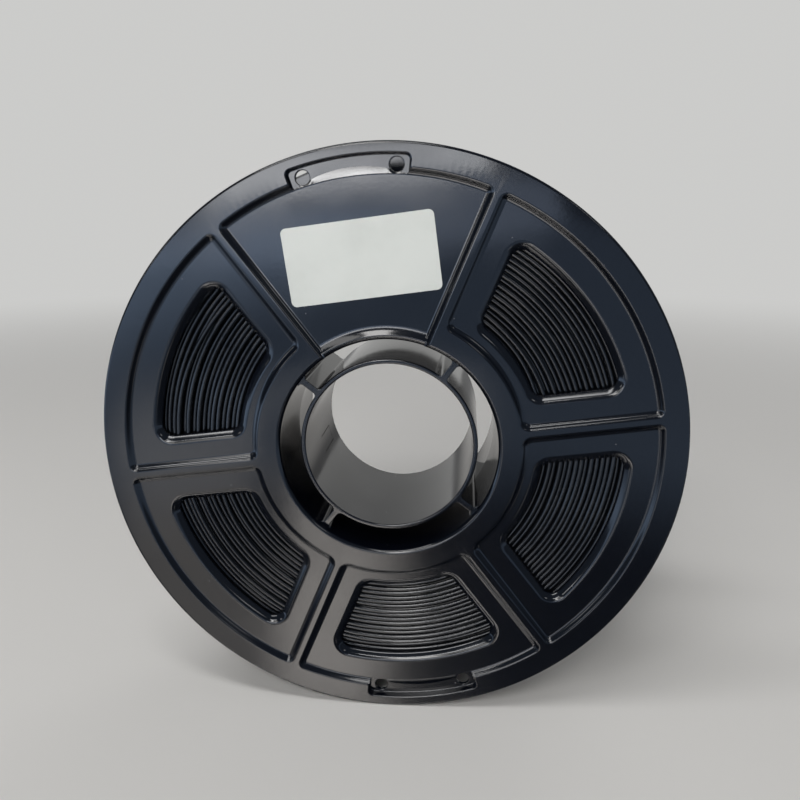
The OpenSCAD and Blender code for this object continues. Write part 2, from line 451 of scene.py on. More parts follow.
class Graph:
    """Wires the nodes of a material or of a node group."""

    def __init__(self, tree: bpy.types.NodeTree) -> None:
        """Works on that tree."""
        self.tree = tree

    def add(self, kind: str, inputs: dict | None = None, **settings: object) -> bpy.types.Node:
        """Adds a node.

        Args:
            kind: Type of the node, without its ShaderNode prefix.
            inputs: Constants or sockets, by the name or number of the input that each goes to.
            **settings: Properties of the node.

        Returns:
            The node.
        """
        node = self.tree.nodes.new(kind if kind.startswith("Node") else f"ShaderNode{kind}")
        for name, value in settings.items():
            setattr(node, name, value)
        for name, value in (inputs or {}).items():
            if isinstance(value, bpy.types.NodeSocket):
                self.tree.links.new(value, node.inputs[name])
            else:
                node.inputs[name].default_value = value
        return node

    def math(self, operation: str, *values: object) -> bpy.types.NodeSocket:
        """The result of a Math node."""
        return self.add("Math", dict(enumerate(values)), operation=operation).outputs[0]

    def ramp(self, value: bpy.types.NodeSocket, low: float, high: float,
             to_low: float = 0.0, to_high: float = 1.0) -> bpy.types.NodeSocket:
        """The value taken smoothly from one range to another."""
        inputs = {"Value": value, "From Min": low, "From Max": high, "To Min": to_low, "To Max": to_high}
        return self.add("MapRange", inputs, interpolation_type="SMOOTHSTEP").outputs[0]

    def use(self, tree: bpy.types.NodeTree, inputs: dict) -> bpy.types.NodeSocket:
        """The first output of a node group, with those inputs."""
        return self.add("Group", inputs, node_tree=tree).outputs[0]

    def noise(self, place: bpy.types.NodeSocket, scale: object, detail: float) -> bpy.types.NodeSocket:
        """The value of a noise texture."""
        return self.add("TexNoise", {"Vector": place, "Scale": scale, "Detail": detail}).outputs[0]

    def surface(self, colour: object, rough: object, height: object, depth: float, strength: float = 1.0,
                ior: float = 1.5) -> bpy.types.NodeSocket:
        """A Principled shader over a bump of that height."""
        bump = self.add("Bump", {"Height": height, "Distance": depth, "Strength": strength})
        return self.add("BsdfPrincipled", {"Base Color": colour, "Roughness": rough, "IOR": ior,
                                           "Normal": bump.outputs[0]}).outputs[0]

    def glow(self, kind: str, colour: object, strength: object = 1.0) -> bpy.types.NodeSocket:
        """A shader that only shines: Emission in a material, Background in the world."""
        return self.add(kind, {"Color": colour, "Strength": strength}).outputs[0]

    def blend(self, factor: object, first: object, second: object) -> bpy.types.NodeSocket:
        """A shader between two others."""
        return self.add("MixShader", {0: factor, 1: first, 2: second}).outputs[0]

    def close(self, end: bpy.types.Node, value: bpy.types.NodeSocket) -> bpy.types.NodeTree:
        """Sends a value to the first input of the output node, and gives the finished tree."""
        self.tree.links.new(value, end.inputs[0])
        return self.tree

    def mix(self, factor: object, first: object, second: object) -> bpy.types.NodeSocket:
        """A colour between two others."""
        return self.add("Mix", {0: factor, 6: first, 7: second}, data_type="RGBA").outputs[2]


def blank(owner: bpy.types.Material | bpy.types.World) -> Graph:
    """Empties the nodes of a material or a world.

    Args:
        owner: The material or the world.

    Returns:
        Its graph.
    """
    owner.use_nodes = True
    owner.node_tree.nodes.clear()
    return Graph(owner.node_tree)


def rgba(colour: Colour) -> tuple[float, float, float, float]:
    """The colour with full alpha."""
    return (*colour, 1.0)


def group(name: str, inputs: dict[str, float | None], output: str) -> tuple[Graph, dict, bpy.types.Node]:
    """Starts a node group.

    Args:
        name: Name of the group.
        inputs: Default of each number that goes in, or None for a vector.
        output: Name of the number that comes out.

    Returns:
        The graph, the sockets of the inputs by name, and the output node.
    """
    tree = bpy.data.node_groups.new(name, "ShaderNodeTree")
    for label, default in inputs.items():
        kind = "NodeSocketVector" if default is None else "NodeSocketFloat"
        socket = tree.interface.new_socket(label, in_out="INPUT", socket_type=kind)
        if default is not None:
            socket.default_value = default
    tree.interface.new_socket(output, in_out="OUTPUT", socket_type="NodeSocketFloat")
    graph = Graph(tree)
    start = graph.add("NodeGroupInput")
    end = graph.add("NodeGroupOutput")
    return graph, {socket.name: socket for socket in start.outputs if socket.name}, end


def once(name: str, make: Callable[[str], bpy.types.NodeTree]) -> bpy.types.NodeTree:
    """The node group of that name, made the first time that it is asked for."""
    return bpy.data.node_groups.get(name) or make(name)


def dust_group(name: str) -> bpy.types.NodeTree:
    """Specks of dust: a mask of small round spots of mixed sizes, with most cells left empty.

    Args:
        name: Name of the group.

    Returns:
        The node group.
    """
    graph, given, end = group(name, {"Vector": None, "Scale": 300.0, "Share": 0.2, "Size": 0.08}, "Mask")
    cells = graph.add("TexVoronoi", {"Vector": given["Vector"], "Scale": given["Scale"]})
    draws = graph.add("SeparateColor", {0: cells.outputs["Color"]})
    there = graph.math("LESS_THAN", draws.outputs[0], given["Share"])
    size = graph.math("MULTIPLY", given["Size"], graph.math("ADD", draws.outputs[1], 0.3))
    inner = graph.math("MULTIPLY", size, 0.5)
    spot = graph.add("MapRange", {"Value": cells.outputs["Distance"], "From Min": size, "From Max": inner})
    return graph.close(end, graph.math("MULTIPLY", spot.outputs[0], there))


def scuff_group(name: str) -> bpy.types.NodeTree:
    """Hairline scuffs: a mask of thin streaks that run along one axis, in patches.

    Args:
        name: Name of the group.

    Returns:
        The node group.
    """
    graph, given, end = group(name, {"Vector": None, "Scale": 60.0, "Stretch": 24.0, "Share": 0.3}, "Mask")
    stretch = graph.add("CombineXYZ", {0: given["Stretch"], 1: 1.0, 2: 1.0})
    along = graph.add("VectorMath", {0: given["Vector"], 1: stretch.outputs[0]}, operation="MULTIPLY")
    streaks = graph.noise(along.outputs[0], given["Scale"], 3.0)
    patches = graph.noise(given["Vector"], 25.0, 1.0)
    line = graph.ramp(streaks, 0.62, 0.7)
    edge = graph.math("SUBTRACT", 1.0, given["Share"])
    patch = graph.add("MapRange", {"Value": patches, "From Min": edge, "From Max": 1.0, "To Max": 3.0})
    return graph.close(end, graph.math("MULTIPLY", line, patch.outputs[0]))


def skin_group(name: str) -> bpy.types.NodeTree:
    """Moulded skin: the height of slow waves in the wall with a fine grain over them.

    Args:
        name: Name of the group.

    Returns:
        The node group.
    """
    inputs = {"Vector": None, "Wave": 18.0, "Wave Depth": 1.0, "Grain": 900.0, "Grain Depth": 0.05}
    graph, given, end = group(name, inputs, "Height")
    wave = graph.noise(given["Vector"], given["Wave"], 1.0)
    grain = graph.noise(given["Vector"], given["Grain"], 2.0)
    slow = graph.math("MULTIPLY", wave, given["Wave Depth"])
    fine = graph.math("MULTIPLY", grain, given["Grain Depth"])
    return graph.close(end, graph.math("ADD", slow, fine))


@dataclass(frozen=True)
class Finish:
    """What every finish has: its name, the record's slot, and how its material starts."""

    name: str
    slot: str

    def material(self) -> bpy.types.Material:
        """Makes the material, the first time that it is asked for.

        Returns:
            The material.
        """
        found = bpy.data.materials.get(self.name)
        if found:
            return found
        made = bpy.data.materials.new(self.name)
        graph = blank(made)
        shader = self.shade(graph, graph.add("TexCoord").outputs["Object"])
        graph.add("OutputMaterial", {"Surface": shader})
        return made

    def shade(self, graph: Graph, place: bpy.types.NodeSocket) -> bpy.types.NodeSocket:
        """Builds the shader; each finish has its own.

        Args:
            graph: The graph that it goes into.
            place: The coordinates of the point that is shaded.

        Returns:
            The shader's output.
        """
        raise NotImplementedError


@dataclass(frozen=True)
class MouldedPlastic(Finish):
    """Glossy black styrene with a slight wave in its walls, dust on it and a few scuffs."""

    name: str = "glossy_black_plastic"
    slot: str = "spool_plastic"
    colour: Colour = (0.0016, 0.0022, 0.0045)
    dust_colour: Colour = (0.16, 0.16, 0.17)
    roughness: float = 0.11
    dust_roughness: float = 0.6
    wave_height: float = 0.00035
    haze_scale: float = 34.0
    haze_spread: tuple[float, float] = (-0.03, 0.04)
    scuff_roughness: float = 0.08

    def shade(self, graph: Graph, place: bpy.types.NodeSocket) -> bpy.types.NodeSocket:
        """Builds the shader.

        Args:
            graph: The graph that it goes into.
            place: The coordinates of the point that is shaded.

        Returns:
            The shader's output.
        """
        specks = {"Vector": place, "Scale": 330.0, "Share": 0.12, "Size": 0.07}
        dust = graph.use(once("dust", dust_group), specks)
        scuff = graph.use(once("scuffs", scuff_group), {"Vector": place})
        skin = graph.use(once("skin", skin_group), {"Vector": place, "Grain Depth": 0.012})
        smoother, rougher = (self.roughness + change for change in self.haze_spread)
        rough = graph.ramp(graph.noise(place, self.haze_scale, 3.0), 0.3, 0.7, smoother, rougher)
        for mask, change in ((scuff, self.scuff_roughness), (dust, self.dust_roughness - self.roughness)):
            rough = graph.math("ADD", rough, graph.math("MULTIPLY", mask, change))
        colour = graph.mix(dust, rgba(self.colour), rgba(self.dust_colour))
        return graph.surface(colour, rough, skin, self.wave_height)


@dataclass(frozen=True)
class Filament(Finish):
    """Black filament: smooth, with a drawn gloss and faint rubbed patches."""

    name: str = "black_filament"
    slot: str = "filament"
    colour: Colour = (0.0028, 0.0032, 0.0045)
    rubbed_colour: Colour = (0.006, 0.0063, 0.0075)
    roughness: float = 0.08
    rub_scale: float = 420.0
    rub_spread: float = 0.10
    grain_scale: float = 2600.0
    grain_height: float = 0.000008

    def shade(self, graph: Graph, place: bpy.types.NodeSocket) -> bpy.types.NodeSocket:
        """Builds the shader.

        Args:
            graph: The graph that it goes into.
            place: The coordinates of the point that is shaded.

        Returns:
            The shader's output.
        """
        rub = graph.noise(place, self.rub_scale, 2.0)
        patch = graph.ramp(rub, 0.45, 0.75)
        rough = graph.ramp(rub, 0.3, 0.8, self.roughness, self.roughness + self.rub_spread)
        grain = graph.noise(place, self.grain_scale, 1.0)
        colour = graph.mix(patch, rgba(self.colour), rgba(self.rubbed_colour))
        return graph.surface(colour, rough, grain, self.grain_height, strength=0.4)


@dataclass(frozen=True)
class LabelFilm(Finish):
    """Off-white satin label stock."""

    name: str = "label_stock"
    slot: str = "label_film"
    colour: Colour = (0.59, 0.61, 0.58)
    shade_colour: Colour = (0.54, 0.56, 0.53)
    roughness: float = 0.38
    fibre_spread: tuple[float, float] = (-0.05, 0.08)
    cloud_scale: float = 60.0
    fibre_scale: float = 2200.0
    fibre_height: float = 0.00003

    def shade(self, graph: Graph, place: bpy.types.NodeSocket) -> bpy.types.NodeSocket:
        """Builds the shader.

        Args:
            graph: The graph that it goes into.
            place: The coordinates of the point that is shaded.

        Returns:
            The shader's output.
        """
        smoother, rougher = (self.roughness + change for change in self.fibre_spread)
        tone = graph.ramp(graph.noise(place, self.cloud_scale, 4.0), 0.35, 0.75)
        fibre = graph.noise(place, self.fibre_scale, 2.0)
        rough = graph.ramp(fibre, 0.3, 0.7, smoother, rougher)
        colour = graph.mix(tone, rgba(self.colour), rgba(self.shade_colour))
        return graph.surface(colour, rough, fibre, self.fibre_height, strength=0.4, ior=1.45)


# ---------------------------------------------------------------- pieces


def hand_over(piece: bpy.types.Object, finish: Finish, *nodes: str) -> None:
    """Gives a finished piece its material and its place in the frame.

    Args:
        piece: The piece, in place.
        finish: Its finish.
        *nodes: The CAD nodes that it stands for.
    """
    piece.data.materials.clear()
    piece.data.materials.append(finish.material())
    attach(piece, BODY)
    if nodes:
        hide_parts(*nodes)
    LOG.info("%s: %d faces", piece.name, len(piece.data.polygons))


def smooth_into_place(mesh: bpy.types.Mesh, placement: Matrix, merge: float, sharp: float) -> None:
    """Merges a mesh's doubled points, lays it into the part's frame and smooths it.

    Args:
        mesh: The mesh, in millimetres in its own frame.
        placement: The matrix that lays it.
        merge: Distance within which points are merged, in millimetres.
        sharp: Angle past which an edge stays sharp.
    """
    shape = bmesh.new()
    shape.from_mesh(mesh)
    bmesh.ops.remove_doubles(shape, verts=shape.verts, dist=merge)
    bmesh.ops.transform(shape, matrix=placement, verts=shape.verts)
    shape.to_mesh(mesh)
    shape.free()
    mesh.shade_smooth()
    mesh.set_sharp_from_angle(angle=sharp)


def lay(solid: Solid, placement: Matrix) -> bpy.types.Object:
    """Lays a finished solid into the part's frame and evens its normals.

    Args:
        solid: The solid, in millimetres in its own frame.
        placement: The matrix that lays it.

    Returns:
        The piece.
    """
    smooth_into_place(solid.object.data, placement, MERGE, SHARP)
    even = solid.object.modifiers.new("even_normals", "WEIGHTED_NORMAL")
    even.keep_sharp = True
    even.weight = FACE_WEIGHT
    return solid.object


@dataclass
class SpoolHalf:
    """One half of the spool: flange, half a drum, half a hub tube, the webs and a latch tongue."""

    side: Side
    panel_depth: float = 1.6
    flange_t: float = 3.8
    rim_w: float = 8.2
    ring_w: float = 8.1
    rib_w: float = 2.9
    wall_run: float = 1.0
    edge_round: float = 0.9
    lip_round: float = 1.3
    foot_round: float = 1.9

    panel_corner_in: float = 2.2
    panel_corner_out: float = 1.2
    panel_mouth_over: float = 4.0

    window_rim_land: float = 12.0
    window_ring_land: float = 6.9
    window_rib_land: float = 12.1
    window_corner: float = 3.6
    window_flare: float = 2.2
    window_edge: float = 0.15
    window_foot_round: float = 2.0
    window_lip_round: float = 2.8

    notch_in: float = 4.3
    notch_half_angle: float = math.radians(12)
    notch_drop: float = 1.0
    notch_corner: float = 1.5
    notch_inner_corner: float = 0.8
    notch_run: float = 0.25
    notch_foot_round: float = 0.35
    notch_lip_round: float = 0.5
    ramp_start: float = 0.6
    ramp_run: float = 2.7
    ramp_foot_r: float = 39.6
    ramp_foot_inset: float = 0.05
    ramp_reach: float = 1.2
    tuck_hole_d: float = 4.6
    tuck_hole_angle: float = math.radians(9.4)
    tuck_hole_land: float = 0.8
    tuck_hole_round: float = 0.3

    mouth_r: float = 37.5
    mouth_round: float = 1.5
    mouth_lip_h: float = 0.7
    mouth_lip_flat: float = 0.2
    mouth_lip_run: float = 3.4
    mouth_lip_steps: int = 25
    mouth_overshoot: float = 0.4
    drum_draft: float = 0.7
    drum_wall: float = 1.8
    drum_foot_round: float = 0.5
    bore_r: float = 29.0
    tube_wall: float = 1.6
    tube_setback: float = 3.0
    web_count: int = 4
    web_t: float = 2.1
    web_fillet: float = 1.2
    web_fillet_fit: float = 0.95
    web_bite: float = 0.1
    web_edge: float = 0.3
    web_bevel: float = 0.09

    tongue_w: float = 6.0
    tongue_len: float = 16.0
    tongue_gap: float = 0.3
    tongue_angle: float = math.radians(189)

    ribs: int = 6
    label_angle: float = math.pi / 2
    steps: int = 256
    mouth_steps: int = 48
    circle_steps: int = 40
    short_arc_steps: int = 8

    half_sector: float = field(init=False)
    flange_r: float = field(init=False)
    face_z: float = field(init=False)
    panel_z: float = field(init=False)
    inner_z: float = field(init=False)
    notch_z: float = field(init=False)
    tube_z: float = field(init=False)
    lip_z: float = field(init=False)
    rim_in_r: float = field(init=False)
    ring_r: float = field(init=False)
    drum_r: float = field(init=False)
    drum_mid_r: float = field(init=False)
    tube_r: float = field(init=False)
    notch_r: float = field(init=False)
    ramp_top_r: float = field(init=False)
    tuck_hole_r: float = field(init=False)

    def __post_init__(self) -> None:
        """Takes the overall sizes from the frame and works out what hangs on them."""
        low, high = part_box(Side.FRONT.value)
        self.half_sector = math.pi / self.ribs
        self.flange_r = high.x / MM
        self.face_z = -low.y / MM
        self.panel_z = self.face_z - self.panel_depth
        self.inner_z = self.face_z - self.flange_t
        self.notch_z = self.panel_z - self.notch_drop
        self.tube_z = self.face_z - self.tube_setback
        self.rim_in_r = self.flange_r - self.rim_w
        self.ring_r = self.mouth_r + self.ring_w
        self.drum_r = self.mouth_r + self.drum_wall
        self.drum_mid_r = self.mouth_r - self.drum_draft
        self.tube_r = self.bore_r + self.tube_wall
        self.notch_r = self.rim_in_r + self.notch_in
        self.ramp_top_r = self.rim_in_r - self.wall_run - self.ramp_start
        self.tuck_hole_r = self.notch_r - self.tuck_hole_d / 2 - self.tuck_hole_land
        self.lip_z = self.panel_z + self.mouth_lip_h

    def build(self) -> None:
        """Builds the half and puts it in its place."""
        half = self.shell()
        half.meet(Operation.JOIN, self.tube(), *self.webs())
        half.meet(Operation.CUT, *self.panels(), self.label_mouth(), *self.windows(), *self.notches(),
                  *self.tuck_holes(), self.tongue(slot=True))
        half.meet(Operation.JOIN, self.tongue(slot=False))
        piece = lay(half, self.side.placement())
        hand_over(piece, MouldedPlastic(), self.side.value)

    def shell(self) -> Solid:
        """Turns the shell: drum wall and flange, before anything is cut into it."""
        edge = self.edge_round
        return turned(f"{self.side.value}_shell", filleted([
            (self.drum_mid_r, 0, 0),
            (self.drum_r, 0, 0),
            (self.drum_r, self.inner_z, self.drum_foot_round),
            (self.flange_r, self.inner_z, edge),
            (self.flange_r, self.face_z, edge),
            (self.mouth_r, self.face_z, self.mouth_round),
            (self.mouth_r, self.inner_z, 0),
        ]), self.steps)

    def tube(self) -> Solid:
        """Turns half of the hub's inner tube."""
        edge = self.tube_wall / 3
        return turned("tube", filleted([
            (self.bore_r, 0, 0),
            (self.tube_r, 0, 0),
            (self.tube_r, self.tube_z, edge),
            (self.bore_r, self.tube_z, edge),
        ]), self.steps)

    def webs(self) -> list[Solid]:
        """Makes the four webs between the tube and the drum, with a hollow at each corner.

        Returns:
            The webs, which bite into both walls.
        """
        half, flare = self.web_t / 2, self.web_t / 2 + self.web_fillet
        start, end = self.tube_r - self.web_bite, self.mouth_r - self.drum_draft / 2
        deep = self.drum_wall / 2
        hollow = self.web_fillet * self.web_fillet_fit
        side = [(start - deep, flare, 0), (start, flare, 0), (start, half, hollow),
                (end, half, hollow), (end, flare, 0), (end + deep, flare, 0)]
        corners = [(x, -y, r) for x, y, r in side] + side[::-1]
        flat = filleted(corners)
        edge, bevel = self.web_edge, self.web_bevel
        levels = [(0, 0), (0, self.tube_z - edge), (-bevel, self.tube_z - bevel), (-edge, self.tube_z)]
        turns = [Matrix.Rotation((i + 0.5) * TURN / self.web_count, 2) for i in range(self.web_count)]
        return [walled("web", outline_of([turn @ p for p in flat]), levels) for turn in turns]

    def panels(self) -> list[Solid]:
        """Makes what sinks the six panels below the rim, ring and ribs.

        Returns:
            The label panel's cutter and the five others.
        """
        levels = wall_levels(self.panel_z, self.face_z, self.wall_run, self.foot_round, self.lip_round)
        beside = self.rib_w / 2 + self.wall_run
        outer = self.rim_in_r - self.wall_run
        corner_in, corner_out = self.panel_corner_in, self.panel_corner_out
        closed = Sector(self.ring_r + self.wall_run, outer, beside, corner_in, corner_out, self.half_sector)
        opened = Sector(self.mouth_r - self.panel_mouth_over, outer, beside, corner_out, corner_out,
                        self.half_sector)
        plain = walled("label_panel", opened.outline(self.label_angle), levels)
        return [plain.meet(Operation.CUT, self.mouth_lip()),
                *(walled("panel", closed.outline(angle), levels) for angle in self._window_angles())]

    def _window_angles(self) -> list[float]:
        """Angles of the middles of the five panels with a window."""
        return [self.label_angle + i * TURN / self.ribs for i in range(1, self.ribs)]

    def mouth_lip(self) -> Solid:
        """Makes the low lip that the label panel keeps round the mouth, with a slope down to the panel.

        Returns:
            The lip.
        """
        top_r = self.mouth_r + self.mouth_round + self.mouth_lip_flat
        drop, run = self.mouth_lip_h, self.mouth_lip_run
        radius = (run * run + drop * drop) / (2 * drop)
        foot, centre = -math.pi / 2, Vector((top_r + run, self.panel_z + radius))
        slope = arc(centre, radius, foot - math.asin(run / radius), foot, self.short_arc_steps)
        low, inner = self.panel_z - OVER, self.mouth_r - OVER
        profile = [(inner, low), (inner, self.lip_z), *(point.place for point in slope), (top_r + run, low)]
        reach = TURN * self.mouth_lip_steps / self.steps
        return turned("mouth_lip", profile, 2 * self.mouth_lip_steps, self.label_angle - reach, 2 * reach)

    def label_mouth(self) -> Solid:
        """Makes what rolls the label panel's lip over into the mouth.

        Returns:
            The cutter.
        """
        size = self.mouth_round
        half = self.half_sector - math.asin((self.rib_w / 2 + self.wall_run) / self.mouth_r)
        curve = filleted([(self.mouth_r, self.lip_z - size - OVER, 0), (self.mouth_r, self.lip_z, size),
                          (self.mouth_r + size + OVER, self.lip_z, 0)], closed=False)[1:-1]
        rise = curve[-1] + (curve[-1] - curve[-2]) * self.mouth_overshoot
        inner, high = self.mouth_r - OVER, self.lip_z + OVER
        profile = [*curve[:-1], rise, (rise.x, high), (inner, high), (inner, self.lip_z - size)]
        return turned("label_mouth", profile, self.mouth_steps, self.label_angle - half, 2 * half)

    def windows(self) -> list[Solid]:
        """Makes what cuts the windows, with walls that flare out towards the panel.

        Returns:
            The five cutters.
        """
        sector = Sector(self.ring_r + self.window_ring_land, self.rim_in_r - self.window_rim_land,
                        self.window_rib_land, self.window_corner, self.window_corner, self.half_sector,
                        corner_steps=12)
        flare_z = self.inner_z + self.window_edge
        levels = through_face([
            (0, self.inner_z - OVER, 0),
            (0, flare_z, self.window_foot_round),
            (self.window_flare, self.panel_z, self.window_lip_round),
            (self.window_flare + ALONG, self.panel_z, 0),
        ])
        return [walled("window", sector.outline(angle), levels) for angle in self._window_angles()]

    def notches(self) -> list[Solid]:
        """Makes what cuts the rim's two notches, each with a ramp left standing in it.

        Returns:
            The two cutters.
        """
        sector = Sector(self.ramp_top_r, self.notch_r, 0, self.notch_inner_corner, self.notch_corner,
                        self.notch_half_angle)
        levels = wall_levels(self.notch_z, self.face_z, self.notch_run, self.notch_foot_round,
                             self.notch_lip_round)
        return [walled("notch", sector.outline(angle), levels).meet(Operation.CUT, self.ramp(angle))
                for angle in self._notch_angles()]

    def _notch_angles(self) -> tuple[float, float]:
        """Angles of the middles of the two notches."""
        return self.label_angle, self.label_angle + math.pi

    def ramp(self, angle: float) -> Solid:
        """Makes the ramp in a notch: a cone's slope, cut off by a curve at its foot.

        Args:
            angle: Angle of the notch's middle.

        Returns:
            The ramp.
        """
        top, foot = self.ramp_top_r, self.ramp_top_r + self.ramp_run
        low, back = self.notch_z - OVER, top - OVER
        slope = [(back, low), (foot, low), (foot, self.notch_z), (top, self.panel_z), (back, self.panel_z)]
        reach = self.notch_half_angle * self.ramp_reach
        made = turned("ramp", slope, self.circle_steps, angle - reach, 2 * reach)
        centre = polar(foot - self.ramp_foot_inset - self.ramp_foot_r, angle)
        curve = arc(centre, self.ramp_foot_r, 0, TURN, 4 * self.circle_steps)[:-1]
        return made.meet(Operation.KEEP, walled("ramp_foot", curve, [(0, low - OVER), (0, self.face_z)]))

    def tuck_holes(self) -> list[Solid]:
        """Makes what drills the holes that hold the filament's end.

        Returns:
            The four cutters, two to a notch.
        """
        radius = self.tuck_hole_d / 2
        levels = wall_levels(self.inner_z - OVER, self.notch_z, 0, 0, self.tuck_hole_round)
        centres = [polar(self.tuck_hole_r, middle + turn) for middle in self._notch_angles()
                   for turn in (-self.tuck_hole_angle, self.tuck_hole_angle)]
        return [walled("tuck_hole", arc(centre, radius, 0, TURN, self.circle_steps)[:-1], levels)
                for centre in centres]

    def tongue(self, slot: bool) -> Solid:
        """Makes the latch tongue that reaches into the other half, or the slot that takes the other's.

        Args:
            slot: True for the slot.

        Returns:
            The tongue, or what cuts the slot.
        """
        gap = self.tongue_gap if slot else 0.0
        aside = math.pi - self.tongue_angle if slot else self.tongue_angle
        half = (self.tongue_w / 2 + gap) / self.tube_r
        if slot:
            low, high = -OVER, self.tongue_len + gap
            inner, outer = self.bore_r - OVER, self.tube_r + OVER
        else:
            low, high = -self.tongue_len, OVER
            inner, outer = self.bore_r, self.tube_r
        corners = [(inner, low, 0), (outer, low, 0), (outer, high, 0), (inner, high, 0)]
        return turned("tongue", filleted(corners), self.short_arc_steps, aside - half, 2 * half)


@dataclass
class WoundFilament:
    """The filament: a dark core, the turns that show on each side, and the outer layer with its tail.

    Its places come from the front half. The rear half has the same hole for the tail, at the same angle.
    """

    spool: SpoolHalf
    filament_d: float = 1.75
    gap: float = 0.3
    turn_pitch: float = 1.785
    layer_pitch: float = 1.75
    side_turns: float = 1.7
    steps: int = 144
    core_steps: int = 192
    seed: int = 11
    sag: float = 0.35
    jog: float = 0.12
    jog_rate: float = 9.0
    turn_round: float = 0.25
    side_drift: tuple[float, float] = (0.3, 0.22)
    outer_drift: tuple[float, float] = (0.16, 0.07)
    drift_pace: float = 1.6
    drift_row: float = 0.37
    side_rows: tuple[float, float] = (2.7, 3.1)
    drift_fade: float = 8.0
    core_inset: float = 2.2
    core_rise: float = 0.4
    climb_steps: int = 12
    tail_steps: int = 16
    bend_steps: int = 8
    tail_lift: float = math.radians(40)
    tail_bend: float = 3.4
    tail_clear: float = 0.6
    tail_short: float = 0.5

    wind_r: float = field(init=False)
    side_z: float = field(init=False)
    tail_angle: float = field(init=False)
    draw: random.Random = field(init=False)

    def __post_init__(self) -> None:
        """Takes the pack's radius from the frame, and the rest from the spool that it is wound on."""
        low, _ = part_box("filament_winding")
        self.wind_r = -low.z / MM - self.filament_d / 2
        self.side_z = self.spool.inner_z - self.gap - self.filament_d / 2
        self.tail_angle = self.spool.label_angle + self.spool.tuck_hole_angle
        self.draw = random.Random(self.seed)

    def build(self) -> None:
        """Builds the core, the two sides and the outer layer."""
        core = lay(self.core(), Side.FRONT.placement())
        hand_over(core, Filament(), "filament_core")
        for side in Side:
            name = f"side_turns_{side.name.lower()}"
            piece = self.tube(name, self.side_strands(side), side.placement())
            hand_over(piece, Filament(), "filament_core")
        piece = self.tube("outer_turns", [self.outer_layer()], Side.FRONT.placement())
        hand_over(piece, Filament(), "filament_winding")

    def core(self) -> Solid:
        """Makes the dark body of the pack under the turns that show.

        Returns:
            The core.
        """
        deep = self.side_z - self.core_inset
        out = self.wind_r - self.filament_d / 2 + self.core_rise
        inner = self.spool.drum_r + self.gap / 2
        profile = [(inner, -deep), (out, -deep), (out, deep), (inner, deep)]
        return turned("pack_core", profile, self.core_steps)

    def wander(self, angle: float, row: float, amount: float) -> float:
        """A slow drift, the same at the same angle and alike in neighbouring rows."""
        flat = polar(self.drift_pace, angle)
        return amount * noise.noise(Vector((flat.x, flat.y, row * self.drift_row)))

    def side_strands(self, side: Side) -> list[list[Vector]]:
        """Winds the strands that reach a flange, climb a layer there and go back in.

        Args:
            side: The half whose flange they lie against.

        Returns:
            The points of each strand, in millimetres in the half's frame.
        """
        sense = 1 if side is Side.FRONT else -1
        layers = int((self.wind_r - self.spool.drum_r - self.filament_d / 2) / self.layer_pitch)
        strands = []
        for lower in range(layers, 0, -2):
            start = self.draw.uniform(0, TURN)
            rest = [self.draw.uniform(0, self.sag) for _ in range(2)]
            shift = [self.draw.uniform(-self.jog, self.jog) for _ in range(2)]
            count = int(2 * self.side_turns * self.steps)
            points = []
            for i in range(count + 1):
                turn = (2 * i / count - 1) * self.side_turns
                climb = smooth(min(max(0.5 + turn * self.jog_rate, 0.0), 1.0))
                angle = start + sense * TURN * turn
                row = lower - climb
                depth = math.hypot(turn * self.turn_pitch, self.turn_round) - self.turn_round
                depth += rest[0] * (1 - climb) + rest[1] * climb
                depth += abs(self.wander(angle, row * self.side_rows[0], self.side_drift[0]))
                radius = self.wind_r - row * self.layer_pitch + shift[0] * (1 - climb) + shift[1] * climb
                radius += self.wander(angle + 2, row * self.side_rows[1], self.side_drift[1])
                flat = polar(radius, angle)
                points.append(Vector((flat.x, flat.y, self.side_z - depth)))
            strands.append(points)
        return strands

    def outer_layer(self) -> list[Vector]:
        """Winds the outer layer, from where it climbs out of the pack to its end in a tuck hole.

        Returns:
            Its points, in the front's frame.
        """
        span = 2 * self.side_z
        turns = int(span / self.turn_pitch)
        start = self.tail_angle - self.tail_lift
        count = turns * self.steps
        along_drift, out_drift = self.outer_drift
        points = []
        for i in range(-self.climb_steps, count + 1):
            along = max(i, 0) / count
            angle = start + TURN * i / self.steps
            drop = self.filament_d * (i / self.climb_steps) ** 2 if i < 0 else 0.0
            y = -self.side_z + span * along
            drift = self.wander(angle, y / 3, along_drift) * min(1, self.drift_fade * along * (1 - along))
            radius = self.wind_r - drop + self.wander(angle + 1, y / 2, out_drift)
            points.append(self._at(radius, angle, y + drift))
        points += self._tail(start + TURN * turns)
        return points

    def _tail(self, start: float) -> list[Vector]:
        """Leads the tail off the pack, in from the flange and out through its hole with a bend.

        Args:
            start: Angle at which it leaves the outer layer.

        Returns:
            Its points, in the front's frame.
        """
        bend = self.tail_bend
        hole_r = self.spool.tuck_hole_r
        low = self.spool.inner_z - bend - self.tail_clear
        stop = self.tail_angle + TURN * round((start + self.tail_lift - self.tail_angle) / TURN)
        last = stop - bend / hole_r
        points = []
        for i in range(1, self.tail_steps + 1):
            share = i / self.tail_steps
            ease = smooth(share)
            radius = self.wind_r + (hole_r - self.wind_r) * ease
            y = self.side_z + (low - self.side_z) * ease
            points.append(self._at(radius, start + (last - start) * share, y))
        for i in range(1, self.bend_steps + 1):
            turn = math.pi / 2 * i / self.bend_steps
            angle = last + bend * math.sin(turn) / hole_r
            points.append(self._at(hole_r, angle, low + bend * (1 - math.cos(turn))))
        points.append(self._at(hole_r, stop, self.spool.face_z - self.tail_short))
        return points

    def _at(self, radius: float, angle: float, y: float) -> Vector:
        """The point at that radius and angle round the part's axis, and y along it, in the front's frame."""
        flat = polar(radius, angle)
        return Vector((flat.x, flat.y, -y))

